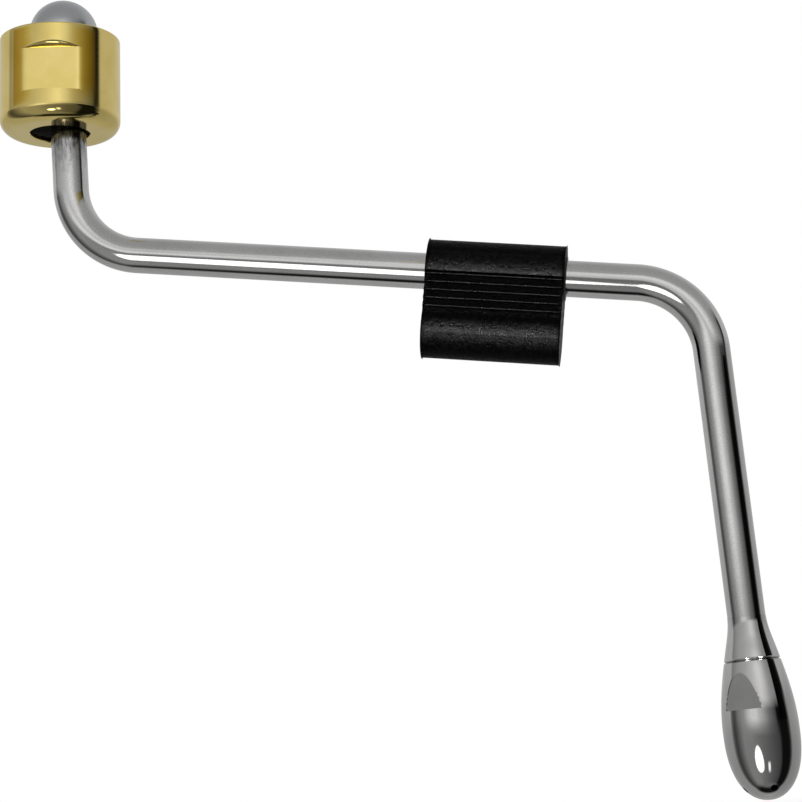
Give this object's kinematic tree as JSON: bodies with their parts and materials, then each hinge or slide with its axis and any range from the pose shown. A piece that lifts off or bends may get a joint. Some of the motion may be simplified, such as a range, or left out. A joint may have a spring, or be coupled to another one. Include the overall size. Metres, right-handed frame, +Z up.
{
  "type": "espresso machine steam wand",
  "caption": "Bent steel steam wand with a ball joint and loose brass clamping nut at the top, a sliding rubber grip on its arm and a drop-shaped jet tip.",
  "frame": {"origin": "centre of the ball", "axes": "+Z up along the upper leg of the pipe, +X the way the arm reaches, the pipe bent in the XZ plane"},
  "size_m": [0.2064, 0.0342, 0.2391],
  "materials": {
    "pipe_steel": "polished stainless steel tube",
    "ball_steel": "satin polished stainless steel",
    "nut_brass": "polished brass",
    "ring_ptfe": "carbon-filled PTFE, smooth",
    "liner_plastic": "dark moulded nylon",
    "grip_rubber": "moulded black rubber, satin and finely mottled",
    "tip_steel": "polished stainless steel",
    "seal_rubber": "black sealing rubber"
  },
  "bodies": {
    "wand": {"steam_pipe": "pipe_steel", "pivot_ball": "ball_steel", "tip_ferrule": "tip_steel", "tip_seal_ring": "seal_rubber", "steam_tip": "tip_steel"},
    "nut_carrier": {"slip_ring": "ring_ptfe"},
    "nut": {"swivel_nut": "nut_brass"},
    "grip_carrier": {"grip_liner": "liner_plastic"},
    "grip": {"grip_sleeve": "grip_rubber"}
  },
  "joints": [
    {"name": "nut_slide", "type": "slide", "parent": "wand", "child": "nut_carrier", "axis": [0.0927, 0, 0.9957], "range_m": [-0.008, 0.02328]},
    {"name": "nut_spin", "type": "hinge", "parent": "nut_carrier", "child": "nut", "pos_m": [-0.00216, 0, -0.0232], "axis": [0.0456, 0, 0.999], "continuous": true},
    {"name": "grip_slide", "type": "slide", "parent": "wand", "child": "grip_carrier", "axis": [0.9877, 0, -0.1564], "range_m": [-0.0816, 0.0186]},
    {"name": "grip_spin", "type": "hinge", "parent": "grip_carrier", "child": "grip", "pos_m": [0.11839, 0, -0.08325], "axis": [0.9877, 0, -0.1564], "continuous": true}
  ]
}
